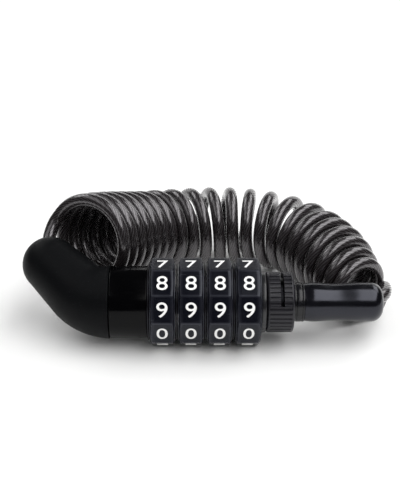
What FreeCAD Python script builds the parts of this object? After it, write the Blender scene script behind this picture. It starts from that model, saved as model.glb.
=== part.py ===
"""Combination cable lock with a coiled steel cable, closed, lying on a flat surface.

Frame: +X along the lock axis towards the plug, +Y behind the lock, +Z up, millimetres.
Origin: on the resting surface, under the middle of the second dial.
"""
import FreeCAD, Part
import math
import os
import Sketcher

Vector = FreeCAD.Vector
DIGITS = 10
DIALS = 4
KNURLS = 36
CABLE_SIDES = 8
QUARTERS = 4
UP = Vector(0, 0, 1)
BACK = Vector(0, 1, 0)
PLUGWARD = Vector(1, 0, 0)
# Where the crimps lie on a ferrule, as shares of its length, and the stations in the elbow's bend
CRIMP_SHARES = (0.3, 0.7)
ELBOW_STATIONS = 4
# How far a cut runs past the surface it opens
OVERRUN = 1.0

doc = FreeCAD.newDocument("cable_lock")
sheet = doc.addObject("Spreadsheet::Sheet", "sizes")


class Size:
    """A number together with the sheet formula that gives it."""

    def __init__(self, value, formula):
        self.value = float(value)
        self.formula = formula

    def __add__(self, other):
        other = as_size(other)
        return Size(self.value + other.value, f"({self.formula} + {other.formula})")

    def __sub__(self, other):
        other = as_size(other)
        return Size(self.value - other.value, f"({self.formula} - {other.formula})")

    def __mul__(self, factor):
        factor = as_size(factor)
        return Size(self.value * factor.value, f"({self.formula} * {factor.formula})")

    def __truediv__(self, divisor):
        divisor = as_size(divisor)
        return Size(self.value / divisor.value, f"({self.formula} / {divisor.formula})")

    def __neg__(self):
        return Size(-self.value, f"(0 - {self.formula})")


def as_size(number):
    """Plain numbers take part in formulas as themselves."""
    if isinstance(number, Size):
        return number
    return Size(number, repr(float(number)))


sheet_row = 0


def cell(alias, value):
    """Write one driving dimension in the sheet and return it as a Size."""
    global sheet_row
    sheet_row += 1
    sheet.set(f"A{sheet_row}", alias)
    sheet.set(f"B{sheet_row}", repr(float(value)))
    sheet.setAlias(f"B{sheet_row}", alias)
    return Size(value, f"sizes.{alias}")


# Dials
dial_across = cell("dial_across", 31.0)
dial_pitch = cell("dial_pitch", 9.77)
dial_face = cell("dial_face", 7.1)
dial_width = cell("dial_width", 8.75)
shoulder_drop = cell("shoulder_drop", 1.5)
shoulder_slope = cell("shoulder_slope", 0.45)
dial_bore_radius = cell("dial_bore_radius", 6.75)
dial_edge_round = cell("dial_edge_round", 0.5)
keyway_width = cell("keyway_width", 1.6)
keyway_depth = cell("keyway_depth", 1.1)

# Core tube, code sleeves and spacers
core_bore_radius = cell("core_bore_radius", 2.4)
core_radius = cell("core_radius", 4.4)
core_disc_radius = cell("core_disc_radius", 11.1)
core_disc_thickness = cell("core_disc_thickness", 2.0)
core_disc_step = cell("core_disc_step", 0.5)
spigot_radius = cell("spigot_radius", 8.0)
spigot_length = cell("spigot_length", 6.0)
sleeve_length = cell("sleeve_length", 7.4)
sleeve_radius = cell("sleeve_radius", 6.6)
running_gap = cell("running_gap", 0.08)
tooth_gap = cell("tooth_gap", 0.15)
spacer_step = cell("spacer_step", 0.8)
spacer_thickness = cell("spacer_thickness", 0.5)

# Collar and end flange
collar_radius = cell("collar_radius", 12.5)
collar_length = cell("collar_length", 12.9)
collar_wall = cell("collar_wall", 1.2)
collar_lip = cell("collar_lip", 1.5)
collar_edge_round = cell("collar_edge_round", 0.35)
flange_lip = cell("flange_lip", 0.1)
flange_thickness = cell("flange_thickness", 1.5)
part_gap = cell("part_gap", 0.25)
seat_gap = cell("seat_gap", 0.05)

# Reset ring and hub
ring_radius = cell("ring_radius", 10.5)
ring_length = cell("ring_length", 9.3)
ring_wall = cell("ring_wall", 1.9)
ring_gap = cell("ring_gap", 0.3)
ring_chamfer = cell("ring_chamfer", 0.5)
ring_border = cell("ring_border", 0.9)
knurl_depth = cell("knurl_depth", 0.45)
knurl_width = cell("knurl_width", 0.6)
knurl_floor_width = cell("knurl_floor_width", 0.36)
slot_place = cell("slot_place", 5.2)
slot_width = cell("slot_width", 1.3)
slot_start_angle = cell("slot_start_angle", 50.0)
slot_sweep_angle = cell("slot_sweep_angle", 111.0)
guide_pin_radius = cell("guide_pin_radius", 0.55)
guide_pin_angle = cell("guide_pin_angle", 58.0)
guide_pin_sink = cell("guide_pin_sink", 0.2)
guide_pin_bite = cell("guide_pin_bite", 0.3)
hub_mouth_radius = cell("hub_mouth_radius", 6.1)
hub_mouth_depth = cell("hub_mouth_depth", 5.3)
clip_thickness = cell("clip_thickness", 0.8)
clip_height = cell("clip_height", 1.1)
clip_opening = cell("clip_opening", 5.6)

# Bolt, neck and plug sleeve
bolt_radius = cell("bolt_radius", 2.3)
tooth_height = cell("tooth_height", 5.6)
tooth_width = cell("tooth_width", 1.6)
tooth_length = cell("tooth_length", 1.2)
bolt_tip_reach = cell("bolt_tip_reach", 2.6)
bolt_bevel = cell("bolt_bevel", 0.8)
bolt_end_room = cell("bolt_end_room", 1.0)
neck_radius = cell("neck_radius", 6.85)
neck_length = cell("neck_length", 3.5)
neck_groove = cell("neck_groove", 0.3)
nose_gap = cell("nose_gap", 0.3)
nose_length = cell("nose_length", 4.4)
nose_bevel = cell("nose_bevel", 0.5)
neck_first_groove = cell("neck_first_groove", 0.7)
neck_second_groove = cell("neck_second_groove", 2.73)
boot_length = cell("boot_length", 27.7)
boot_radius = cell("boot_radius", 6.85)
boot_waist = cell("boot_waist", 6.45)
boot_rim_radius = cell("boot_rim_radius", 6.55)
boot_crest_place = cell("boot_crest_place", 3.3)
boot_waist_place = cell("boot_waist_place", 11.6)
boot_swell_place = cell("boot_swell_place", 20.0)
boot_shoulder_place = cell("boot_shoulder_place", 23.6)
boot_end_round = cell("boot_end_round", 4.2)
bolt_tail = cell("bolt_tail", 14.0)
pin_radius = cell("pin_radius", 1.0)
pin_play = cell("pin_play", 0.02)
pin_sink = cell("pin_sink", 0.5)
plug_pin_place = cell("plug_pin_place", 7.0)
plug_pin_depth = cell("plug_pin_depth", 3.2)

# Elbow cap
elbow_rim_radius = cell("elbow_rim_radius", 12.75)
elbow_tip_radius = cell("elbow_tip_radius", 9.8)
elbow_lead = cell("elbow_lead", 0.6)
elbow_curve = cell("elbow_curve", 15.2)
elbow_turn_angle = cell("elbow_turn_angle", 44.0)
elbow_run = cell("elbow_run", 14.3)
elbow_tilt_angle = cell("elbow_tilt_angle", 40.0)
elbow_pin_start = cell("elbow_pin_start", 1.5)
mould_step = cell("mould_step", 0.05)

# Cable
cable_diameter = cell("cable_diameter", 4.8)
ferrule_wall = cell("ferrule_wall", 0.9)
ferrule_length = cell("ferrule_length", 5.5)
crimp_depth = cell("crimp_depth", 0.25)
crimp_width = cell("crimp_width", 1.4)
ferrule_play = cell("ferrule_play", 0.1)
cable_play = cell("cable_play", 0.12)
cap_grip = cell("cap_grip", 8.35)
plug_grip = cell("plug_grip", 2.0)
plug_straight = cell("plug_straight", 6.8)
coil_radius = cell("coil_radius", 12.94)
coil_extra_radius = cell("coil_extra_radius", 2.0)
coil_extra_turns = 6.17
coil_shrink = cell("coil_shrink", 3.5)
coil_shrink_turns = 2.7
coil_floor_gap = cell("coil_floor_gap", 0.05)
coil_start_across = cell("coil_start_across", -37.71)
coil_start_back = cell("coil_start_back", 20.5)
coil_heading_angle = cell("coil_heading_angle", 57.65)
coil_dive_angle = cell("coil_dive_angle", 13.0)
coil_phase_angle = cell("coil_phase_angle", -93.88)
coil_begin_turns = 0.12
coil_end_turns = 21.747
elbow_exit_angle = cell("elbow_exit_angle", 100.0)
elbow_exit_rise_angle = cell("elbow_exit_rise_angle", 15.0)
plug_exit_angle = cell("plug_exit_angle", 55.0)
plug_exit_rise_angle = cell("plug_exit_rise_angle", 25.0)
plug_exit_inset = cell("plug_exit_inset", 4.77)
snug_gap = cell("snug_gap", 0.47)
open_gap = cell("open_gap", 0.79)
wide_gap = cell("wide_gap", 1.86)
last_gap = cell("last_gap", 0.57)

# The stretches of the coil's axis, from the elbow to the plug: turns, angle turned to the right, dive
# at the start and at the end as shares of the first dive, and the gap between turns on the inside
AXIS_STRETCHES = (
    (6, 3.4, 1.0, 1.0, snug_gap),
    (2, 24.4, 1.0, 0.5, snug_gap),
    (2, 21.1, 0.5, 0.0, snug_gap),
    (3, 29.1, 0.0, 0.0, snug_gap),
    (3, 41.2, 0.0, 0.0, open_gap),
    (3, 0.7, 0.0, 0.0, wide_gap),
    (3, 0.1, 0.0, 0.0, last_gap),
)
AXIS_STEPS = 50

# Places along the lock axis, each from the one before it
half_pitch = dial_pitch / 2
axis_height = dial_across / 2 * math.cos(math.pi / DIGITS)
shoulder_radius = dial_across / 2 - shoulder_drop
spacer_radius = shoulder_radius - spacer_step
first_washer_place = -(dial_pitch + half_pitch)
ferrule_radius = cable_diameter / 2 + ferrule_wall
cable_hole_radius = cable_diameter / 2 + cable_play
collar_right = first_washer_place - spacer_thickness / 2 - seat_gap * 2
collar_left = collar_right - collar_length
elbow_rim_place = collar_left - part_gap
last_dial_right = dial_pitch * 2 + dial_width / 2
flange_left = last_dial_right + part_gap
flange_right = flange_left + flange_thickness
flange_radius = ring_radius + flange_lip
ring_left = flange_right + ring_gap
ring_right = ring_left + ring_length
neck_left = ring_right + ring_gap
neck_right = neck_left + neck_length
boot_right = neck_right + boot_length
hub_left = flange_right + seat_gap
hub_right = ring_right - seat_gap * 2
mouth_left = hub_right - hub_mouth_depth
tooth_slot_width = tooth_width + tooth_gap * 2
tooth_clear_height = tooth_height + tooth_gap * 2
nose_radius = hub_mouth_radius - nose_gap
guide_pin_foot = hub_mouth_radius + guide_pin_bite
plug_exit_place = boot_right - plug_exit_inset
pin_place = collar_left - spigot_length / 2


def bind(thing, prop, size):
    """Bind one property of an object to a formula of the sheet."""
    thing.setExpression(prop, as_size(size).formula)


def new_body(label, along=None):
    """A body on the lock axis, moved along it by a bound distance."""
    body = doc.addObject("PartDesign::Body", label)
    body.Label = label
    if along is not None:
        bind(body, "Placement.Base.x", along)
    bind(body, "Placement.Base.z", axis_height)
    return body


def origin_part(body, role):
    """The body's own origin plane or axis with this role."""
    return next(item for item in body.Origin.OriginFeatures if item.Role == role)


def new_sketch(body, name, role, turned=0.0):
    """A sketch on an origin plane, turned about its own first axis."""
    sketch = body.newObject("Sketcher::SketchObject", name)
    sketch.AttachmentSupport = [(origin_part(body, role), "")]
    sketch.MapMode = "FlatFace"
    turned = as_size(turned)
    if turned.value:
        sketch.AttachmentOffset = FreeCAD.Placement(
            Vector(0, 0, 0), FreeCAD.Rotation(Vector(1, 0, 0), turned.value))
    return sketch


def fix_point(sketch, edge, end, across, up, name):
    """Hold one end of an edge at a bound place from the sketch's origin."""
    for kind, size in (("DistanceX", across), ("DistanceY", up)):
        size = as_size(size)
        index = sketch.addConstraint(Sketcher.Constraint(kind, -1, 1, edge, end, size.value))
        label = f"{name}_{kind[-1].lower()}"
        sketch.renameConstraint(index, label)
        sketch.setExpression(f"Constraints.{label}", size.formula)


def draw_outline(sketch, corners):
    """A closed outline of straight lines through bound corners."""
    first = sketch.GeometryCount
    points = [Vector(as_size(x).value, as_size(y).value, 0) for x, y in corners]
    count = len(points)
    for i in range(count):
        sketch.addGeometry(Part.LineSegment(points[i], points[(i + 1) % count]), False)
    for i in range(count):
        after = first + (i + 1) % count
        sketch.addConstraint(Sketcher.Constraint("Coincident", first + i, 2, after, 1))
    for i, (x, y) in enumerate(corners):
        fix_point(sketch, first + i, 1, x, y, f"corner{first + i}")


def draw_circle(sketch, across, up, radius):
    """A circle with its centre and radius bound to the sheet."""
    radius = as_size(radius)
    centre = Vector(as_size(across).value, as_size(up).value, 0)
    edge = sketch.addGeometry(Part.Circle(centre, UP, radius.value), False)
    index = sketch.addConstraint(Sketcher.Constraint("Radius", edge, radius.value))
    sketch.renameConstraint(index, f"radius{edge}")
    sketch.setExpression(f"Constraints.radius{edge}", radius.formula)
    fix_point(sketch, edge, 3, across, up, f"centre{edge}")


def turn_profile(body, name, corners, cut=False, angle=360.0, turned=0.0):
    """Turn an outline of (place along the axis, radius) corners about the body's X axis."""
    sketch = new_sketch(body, f"{name}_profile", "XY_Plane", turned)
    draw_outline(sketch, corners)
    kind = "PartDesign::Groove" if cut else "PartDesign::Revolution"
    feature = body.newObject(kind, name)
    feature.Profile = sketch
    feature.ReferenceAxis = (sketch, ["H_Axis"])
    feature.Angle = as_size(angle).value
    if isinstance(angle, Size):
        bind(feature, "Angle", angle)
    return feature


def pad_or_pocket(body, kind, name, sketch, length, both_ways=False, reverse=False):
    """A pad or pocket of a sketch with a bound length."""
    feature = body.newObject(f"PartDesign::{kind}", name)
    feature.Profile = sketch
    feature.SideType = "Symmetric" if both_ways else "One side"
    feature.Reversed = reverse
    bind(feature, "Length", length)
    return feature


def cut_volume(body, feature, least):
    """Recompute and stop if a cut took away less than it should."""
    doc.recompute()
    before = feature.BaseFeature.Shape.Volume
    taken = before - feature.Shape.Volume
    if taken < least:
        raise RuntimeError(f"{body.Label}: {feature.Name} cut only {taken:.3f} mm3")


def repeat_round(body, feature, count):
    """Repeat a cut evenly about the lock axis."""
    pattern = body.newObject("PartDesign::PolarPattern", f"{feature.Name}_pattern")
    pattern.Originals = [feature]
    pattern.Axis = (origin_part(body, "X_Axis"), [""])
    pattern.Angle = 360.0
    pattern.Occurrences = count
    body.Tip = pattern
    return pattern


def ring_corners(left, right, inner, outer):
    """Outline of a plain ring: two places along the axis and two radii."""
    return [(left, inner), (right, inner), (right, outer), (left, outer)]


def cut_tooth_way(body, left, right):
    """Cut the passage over the core that lets the bolt's teeth through."""
    half = tooth_slot_width / 2
    sketch = new_sketch(body, "tooth_way_outline", "XY_Plane")
    draw_outline(sketch, [(left, -half), (right, -half), (right, half), (left, half)])
    way = pad_or_pocket(body, "Pocket", "tooth_way", sketch, tooth_clear_height, reverse=True)
    cut_volume(body, way, 0.5)


def make_dial(number):
    """A dial: decagonal barrel, round shoulders, bore with a keyway for each digit."""
    body = new_body(f"dial_{number}", dial_pitch * (number - 2))
    sketch = new_sketch(body, "decagon", "YZ_Plane")
    corners = []
    for i in range(DIGITS):
        angle = math.radians(-90) + (i + 0.5) * 2 * math.pi / DIGITS
        corners.append((dial_across / 2 * math.cos(angle), dial_across / 2 * math.sin(angle)))
    draw_outline(sketch, corners)
    barrel = pad_or_pocket(body, "Pad", "barrel", sketch, dial_face + shoulder_slope * 2, True)
    doc.recompute()
    longways = []
    for i, edge in enumerate(barrel.Shape.Edges):
        ends = [vertex.Point for vertex in edge.Vertexes]
        if len(ends) == 2 and abs(ends[0].x - ends[1].x) > dial_face.value:
            longways.append(f"Edge{i + 1}")
    rounding = body.newObject("PartDesign::Fillet", "edge_rounding")
    rounding.Base = (barrel, longways)
    bind(rounding, "Radius", dial_edge_round)
    half_face = dial_face / 2
    half_barrel = half_face + shoulder_slope
    half_width = dial_width / 2
    beyond = dial_across / 2 + OVERRUN
    for side, name in ((-1, "left"), (1, "right")):
        cone = [
            (half_face * side, beyond),
            (half_face * side, dial_across / 2),
            (half_barrel * side, shoulder_radius),
            ((half_barrel + OVERRUN) * side, shoulder_radius),
            ((half_barrel + OVERRUN) * side, beyond),
        ]
        slope = turn_profile(body, f"{name}_slope", cone, cut=True)
        cut_volume(body, slope, 5.0)
        rim = ring_corners(half_face * side, half_width * side, dial_bore_radius, shoulder_radius)
        turn_profile(body, f"{name}_rim", rim)
    bore_sketch = new_sketch(body, "bore_outline", "YZ_Plane")
    draw_circle(bore_sketch, 0, 0, dial_bore_radius)
    bore = pad_or_pocket(body, "Pocket", "bore", bore_sketch, dial_width + OVERRUN, True)
    cut_volume(body, bore, 500.0)
    key_sketch = new_sketch(body, "keyway_outline", "YZ_Plane")
    half_key = keyway_width / 2
    top = dial_bore_radius + keyway_depth
    root = dial_bore_radius - OVERRUN
    draw_outline(key_sketch, [(-half_key, root), (half_key, root),
                              (half_key, top), (-half_key, top)])
    keyway = pad_or_pocket(body, "Pocket", "keyway", key_sketch, dial_width + OVERRUN, True)
    cut_volume(body, keyway, 5.0)
    repeat_round(body, keyway, DIGITS)
    return body


def make_code_sleeve(number):
    """The ring inside a dial that blocks the bolt unless its notch faces the teeth."""
    body = new_body(f"code_sleeve_{number}", dial_pitch * (number - 2))
    half = sleeve_length / 2
    turn_profile(body, "ring", ring_corners(-half, half, core_radius + running_gap, sleeve_radius))
    half_rib = keyway_width / 2 - tooth_gap
    rib_sketch = new_sketch(body, "rib_outline", "YZ_Plane")
    rib_top = dial_bore_radius + keyway_depth - tooth_gap
    rib_root = (core_radius + running_gap + sleeve_radius) / 2
    draw_outline(rib_sketch, [(-half_rib, -rib_root), (half_rib, -rib_root),
                              (half_rib, -rib_top), (-half_rib, -rib_top)])
    pad_or_pocket(body, "Pad", "drive_rib", rib_sketch, sleeve_length, True)
    doc.recompute()
    cut_tooth_way(body, -(half + OVERRUN), half + OVERRUN)
    return body


def make_washer(label, place, thickness, outer):
    """A flat ring on the core with the bolt's tooth way cut in it."""
    body = new_body(label, place)
    half = thickness / 2
    turn_profile(body, "disc", ring_corners(-half, half, core_radius + seat_gap, outer))
    doc.recompute()
    cut_tooth_way(body, -(half + OVERRUN), half + OVERRUN)
    return body


def make_core():
    """Die-cast core: bored tube with a tooth slot, a disc in the collar and a spigot."""
    body = new_body("body_core")
    disc_right = collar_left + core_disc_thickness
    spigot_left = collar_left - spigot_length
    bore_end = first_washer_place - bolt_tip_reach - bolt_end_room
    turn_profile(body, "casting", [
        (spigot_left, 0), (bore_end, 0), (bore_end, core_bore_radius),
        (mouth_left, core_bore_radius), (mouth_left, core_radius),
        (disc_right, core_radius), (disc_right, core_disc_radius),
        (collar_left + core_disc_step, core_disc_radius),
        (collar_left + core_disc_step, spigot_radius), (spigot_left, spigot_radius)])
    doc.recompute()
    slot_left = first_washer_place - tooth_length
    half = tooth_slot_width / 2
    sketch = new_sketch(body, "tooth_slot_outline", "XY_Plane")
    right = mouth_left + OVERRUN
    draw_outline(sketch, [(slot_left, -half), (right, -half), (right, half), (slot_left, half)])
    slot = pad_or_pocket(body, "Pocket", "tooth_slot", sketch, core_radius + OVERRUN, reverse=True)
    cut_volume(body, slot, 50.0)
    pin_sketch = new_sketch(body, "pin_hole_outline", "XZ_Plane")
    draw_circle(pin_sketch, pin_place, 0, pin_radius + pin_play)
    hole = pad_or_pocket(body, "Pocket", "pin_hole", pin_sketch, spigot_radius + OVERRUN)
    cut_volume(body, hole, 15.0)
    return body


def make_collar():
    """Glossy cup over the core's disc, with a lip facing the first dial."""
    body = new_body("body_collar")
    lip_left = collar_right - collar_lip
    inner = collar_radius - collar_wall
    turn_profile(body, "cup", [
        (collar_left, inner), (lip_left, inner), (lip_left, core_radius + seat_gap),
        (collar_right, core_radius + seat_gap), (collar_right, collar_radius - collar_edge_round),
        (collar_right - collar_edge_round, collar_radius),
        (collar_left + collar_edge_round, collar_radius),
        (collar_left, collar_radius - collar_edge_round)])
    doc.recompute()
    cut_tooth_way(body, collar_right - tooth_length, collar_right + OVERRUN)
    return body


def make_hub():
    """Fixed hub on the core's end that carries the reset ring and takes the plug's nose."""
    body = new_body("reset_hub")
    outer = ring_radius - ring_wall - running_gap
    inner = core_radius + seat_gap
    turn_profile(body, "hub", [
        (hub_left, inner), (mouth_left, inner), (mouth_left, hub_mouth_radius),
        (hub_right, hub_mouth_radius), (hub_right, outer), (hub_left, outer)])
    doc.recompute()
    cut_tooth_way(body, hub_left - OVERRUN, hub_right)
    pin_sketch = new_sketch(body, "pin_hole_outline", "XY_Plane", guide_pin_angle - 90)
    draw_circle(pin_sketch, ring_left + slot_place, 0, guide_pin_radius + pin_play)
    hole = pad_or_pocket(body, "Pocket", "pin_hole", pin_sketch, ring_radius, reverse=True)
    cut_volume(body, hole, 1.0)
    return body


def make_guide_pin():
    """Pin pressed in the hub that stands in the reset ring's slot."""
    body = new_body("guide_pin")
    sketch = new_sketch(body, "pin_outline", "XY_Plane", guide_pin_angle - 90)
    draw_circle(sketch, ring_left + slot_place, 0, guide_pin_radius)
    pad_or_pocket(body, "Pad", "pin", sketch, ring_radius - knurl_depth - guide_pin_sink)
    doc.recompute()
    turn_profile(body, "pin_foot", ring_corners(ring_left, ring_right, 0, guide_pin_foot), cut=True)
    doc.recompute()
    return body


def make_reset_ring():
    """Knurled ring with a part-turn slot for the guide pin."""
    body = new_body("reset_ring")
    inner = ring_radius - ring_wall
    turn_profile(body, "ring", [
        (ring_left, inner), (ring_right, inner), (ring_right, ring_radius - ring_chamfer),
        (ring_right - ring_chamfer, ring_radius), (ring_left + ring_chamfer, ring_radius),
        (ring_left, ring_radius - ring_chamfer)])
    doc.recompute()
    half = knurl_width / 2
    sketch = new_sketch(body, "knurl_outline", "YZ_Plane")
    sketch.AttachmentOffset = FreeCAD.Placement(
        Vector(0, 0, (ring_left + ring_border).value), FreeCAD.Rotation())
    bind(sketch, "AttachmentOffset.Base.z", ring_left + ring_border)
    bottom = ring_radius - knurl_depth
    half_floor = knurl_floor_width / 2
    draw_outline(sketch, [(-half_floor, bottom), (half_floor, bottom), (half, ring_radius + OVERRUN),
                          (-half, ring_radius + OVERRUN)])
    groove = pad_or_pocket(body, "Pocket", "knurl", sketch, ring_length - ring_border * 2, reverse=True)
    cut_volume(body, groove, 1.0)
    repeat_round(body, groove, KNURLS)
    doc.recompute()
    middle = ring_left + slot_place
    slot = turn_profile(body, "pin_slot", ring_corners(
        middle - slot_width / 2, middle + slot_width / 2, inner - OVERRUN, ring_radius + OVERRUN),
        cut=True, angle=slot_sweep_angle, turned=slot_start_angle)
    cut_volume(body, slot, 20.0)
    body.Tip = slot
    return body


def make_clip():
    """Open spring clip that holds the hub on the core."""
    body = new_body("hub_clip")
    left = mouth_left + seat_gap
    right = left + clip_thickness
    inner = core_radius + seat_gap
    turn_profile(body, "clip", ring_corners(left, right, inner, inner + clip_height))
    doc.recompute()
    half = clip_opening / 2
    sketch = new_sketch(body, "gap_outline", "XY_Plane")
    draw_outline(sketch, [(left - OVERRUN, -half), (right + OVERRUN, -half),
                          (right + OVERRUN, half), (left - OVERRUN, half)])
    gap = pad_or_pocket(body, "Pocket", "gap", sketch, inner + clip_height + OVERRUN, reverse=True)
    cut_volume(body, gap, 1.0)
    return body


def make_bolt():
    """Steel bolt with a tooth for each dial; closed, each tooth stands between two sleeves."""
    body = new_body("plug_bolt")
    tip = first_washer_place - bolt_tip_reach
    tail = neck_right + bolt_tail
    turn_profile(body, "shaft", [
        (tip, 0), (tail, 0), (tail, bolt_radius), (tip + bolt_bevel, bolt_radius),
        (tip, bolt_radius - bolt_bevel)])
    doc.recompute()
    half_length = tooth_length / 2
    half_width = tooth_width / 2
    for i in range(DIALS):
        place = first_washer_place + dial_pitch * i
        sketch = new_sketch(body, f"tooth_{i + 1}_outline", "XY_Plane")
        draw_outline(sketch, [
            (place - half_length, -half_width), (place + half_length, -half_width),
            (place + half_length, half_width), (place - half_length, half_width)])
        pad_or_pocket(body, "Pad", f"tooth_{i + 1}", sketch, tooth_height)
        doc.recompute()
    pin_sketch = new_sketch(body, "pin_hole_outline", "XZ_Plane")
    draw_circle(pin_sketch, neck_right + plug_pin_place, 0, pin_radius + pin_play)
    hole = pad_or_pocket(body, "Pocket", "pin_hole", pin_sketch, bolt_radius * 3, True)
    cut_volume(body, hole, 5.0)
    return body


def make_neck():
    """Gloss metal neck of the plug, with two fine grooves and a nose that enters the hub."""
    body = new_body("plug_neck")
    bore = bolt_radius + pin_play
    nose_left = neck_left - nose_length
    corners = [(nose_left, bore), (neck_right, bore)]
    corners += [(neck_right, neck_radius)]
    for place in (neck_left + neck_second_groove, neck_left + neck_first_groove):
        corners += [(place + neck_groove / 2, neck_radius),
                    (place + neck_groove / 2, neck_radius - neck_groove),
                    (place - neck_groove / 2, neck_radius - neck_groove),
                    (place - neck_groove / 2, neck_radius)]
    corners += [(neck_left, neck_radius), (neck_left, nose_radius),
                (nose_left + nose_bevel, nose_radius), (nose_left, nose_radius - nose_bevel)]
    turn_profile(body, "neck", corners)
    return body


def rod(name, start, heading, length, radius):
    """A plain cylinder from a point along a heading, used as a pin or as a cutting tool."""
    piece = doc.addObject("Part::Cylinder", name)
    bind(piece, "Radius", radius)
    bind(piece, "Height", length)
    piece.Placement = FreeCAD.Placement(start, FreeCAD.Rotation(UP, heading))
    return piece


def circle_section(name, centre, turn, radius):
    """One round section of a loft."""
    section = doc.addObject("Part::Circle", name)
    bind(section, "Radius", radius)
    section.Placement = FreeCAD.Placement(centre, turn)
    return section


def smooth_loft(name, sections):
    """A solid skin through round sections."""
    loft = doc.addObject("Part::Loft", name)
    loft.Sections = sections
    loft.Solid = True
    loft.Ruled = False
    return loft


def join(name, shapes):
    """One solid from several that touch."""
    joined = doc.addObject("Part::MultiFuse", name)
    joined.Shapes = shapes
    return joined


def cut_away(label, base, tools):
    """The finished piece: a base with the joined tools cut from it."""
    piece = doc.addObject("Part::Cut", label)
    piece.Base = base
    piece.Tool = join(f"{label}_tools", tools)
    piece.Label = label
    return piece


def heading_of(turn, rise):
    """Unit vector from a turn about the vertical and a rise above the level, in degrees."""
    turn = math.radians(as_size(turn).value)
    rise = math.radians(as_size(rise).value)
    return Vector(math.cos(rise) * math.cos(turn), math.cos(rise) * math.sin(turn), math.sin(rise))


cap_bore = heading_of(elbow_exit_angle, elbow_exit_rise_angle)
plug_bore = heading_of(plug_exit_angle, plug_exit_rise_angle)
plug_bore_start = Vector(plug_exit_place.value, 0, axis_height.value)
bend_length = elbow_curve * math.radians(1) * elbow_turn_angle
cap_length = elbow_lead + bend_length + elbow_run


def elbow_centre(distance):
    """Point and heading of the elbow's centreline, a given distance from its rim."""
    tilt = math.radians(elbow_tilt_angle.value)
    side = Vector(0, math.cos(tilt), math.sin(tilt))
    point = Vector(elbow_rim_place.value, 0, axis_height.value)
    heading = -PLUGWARD
    straight = min(distance, elbow_lead.value)
    point += heading * straight
    bent = min(distance - straight, bend_length.value)
    angle = bent / elbow_curve.value
    point += (heading * math.sin(angle) + side * (1 - math.cos(angle))) * elbow_curve.value
    heading = heading * math.cos(angle) + side * math.sin(angle)
    return point + heading * (distance - straight - bent), heading


def make_elbow():
    """Elbow cap: narrowing bent tube with a domed tip, a socket for the spigot and a cable bore."""
    tilt = math.radians(elbow_tilt_angle.value)
    across = Vector(0, -math.sin(tilt), math.cos(tilt))
    lead, bend, run = elbow_lead.value, bend_length.value, elbow_run.value
    stops = [0, lead] + [lead + bend * i / ELBOW_STATIONS for i in range(1, ELBOW_STATIONS + 1)]
    stops += [lead + bend + run / 2, lead + bend + run]
    sections = []
    for i, stop in enumerate(stops):
        centre, heading = elbow_centre(stop)
        turn = FreeCAD.Rotation(across, heading.cross(across), heading, "ZXY")
        narrowed = stop / stops[-1]
        radius = elbow_rim_radius - (elbow_rim_radius - elbow_tip_radius) * narrowed
        sections.append(circle_section(f"elbow_section_{i}", centre, turn, radius))
    tube = smooth_loft("elbow_tube", sections)
    tip, _ = elbow_centre(stops[-1])
    dome = doc.addObject("Part::Sphere", "elbow_dome")
    bind(dome, "Radius", elbow_tip_radius - mould_step)
    dome.Placement = FreeCAD.Placement(tip, FreeCAD.Rotation())
    rim, _ = elbow_centre(0)
    cable_end = tip + cap_bore * (elbow_tip_radius - cap_grip).value
    chamber_start = cable_end - cap_bore * (ferrule_length + ferrule_play).value
    pin_middle = Vector(pin_place.value, 0, axis_height.value)
    tools = [
        rod("socket", rim + PLUGWARD * OVERRUN, -PLUGWARD, spigot_length + part_gap + OVERRUN,
            spigot_radius + ferrule_play),
        rod("cap_chamber", chamber_start, cap_bore, ferrule_length + ferrule_play * 2,
            ferrule_radius + ferrule_play),
        rod("cap_cable_bore", cable_end, cap_bore, cap_grip + OVERRUN, cable_hole_radius),
        rod("cap_pin_hole", pin_middle, BACK, elbow_rim_radius + OVERRUN, pin_radius + pin_play),
    ]
    return cut_away("elbow_cap", join("elbow_skin", [tube, dome]), tools)


def make_boot():
    """Moulded plug sleeve: slight waist, rounded end, bores for bolt tail, pin and cable."""
    stations = (
        ("boot_face", neck_right, boot_rim_radius),
        ("boot_crest", neck_right + boot_crest_place, boot_radius),
        ("boot_waist", neck_right + boot_waist_place, boot_waist),
        ("boot_swell", neck_right + boot_swell_place, boot_radius),
        ("boot_shoulder", neck_right + boot_shoulder_place, boot_radius),
        ("boot_end", boot_right, boot_rim_radius),
    )
    turn = FreeCAD.Rotation(UP, PLUGWARD)
    sections = []
    for name, place, radius in stations:
        section = circle_section(name, Vector(), turn, radius)
        bind(section, "Placement.Base.x", place)
        bind(section, "Placement.Base.z", axis_height)
        sections.append(section)
    skin = smooth_loft("boot_skin", sections)
    doc.recompute()
    rounded = doc.addObject("Part::Fillet", "boot_rounded")
    rounded.Base = skin
    far = [i + 1 for i, edge in enumerate(skin.Shape.Edges)
           if edge.BoundBox.XMin > boot_right.value - 0.01]
    rounded.Edges = [(i, boot_end_round.value, boot_end_round.value) for i in far]
    face = Vector(neck_right.value, 0, axis_height.value)
    cable_end = plug_bore_start + plug_bore * plug_grip.value
    chamber_start = cable_end - plug_bore * (ferrule_length + ferrule_play).value
    pin_start = face + PLUGWARD * plug_pin_place.value - BACK * plug_pin_depth.value
    tools = [
        rod("bolt_bore", face - PLUGWARD * OVERRUN, PLUGWARD, bolt_tail + part_gap + OVERRUN,
            bolt_radius + pin_play),
        rod("plug_chamber", chamber_start, plug_bore, ferrule_length + ferrule_play * 2,
            ferrule_radius + ferrule_play),
        rod("plug_cable_bore", cable_end, plug_bore, boot_end_round * 3, cable_hole_radius),
        rod("plug_pin_hole", pin_start, BACK, boot_radius * 2, pin_radius + pin_play),
    ]
    return cut_away("plug_sleeve", rounded, tools)


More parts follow.
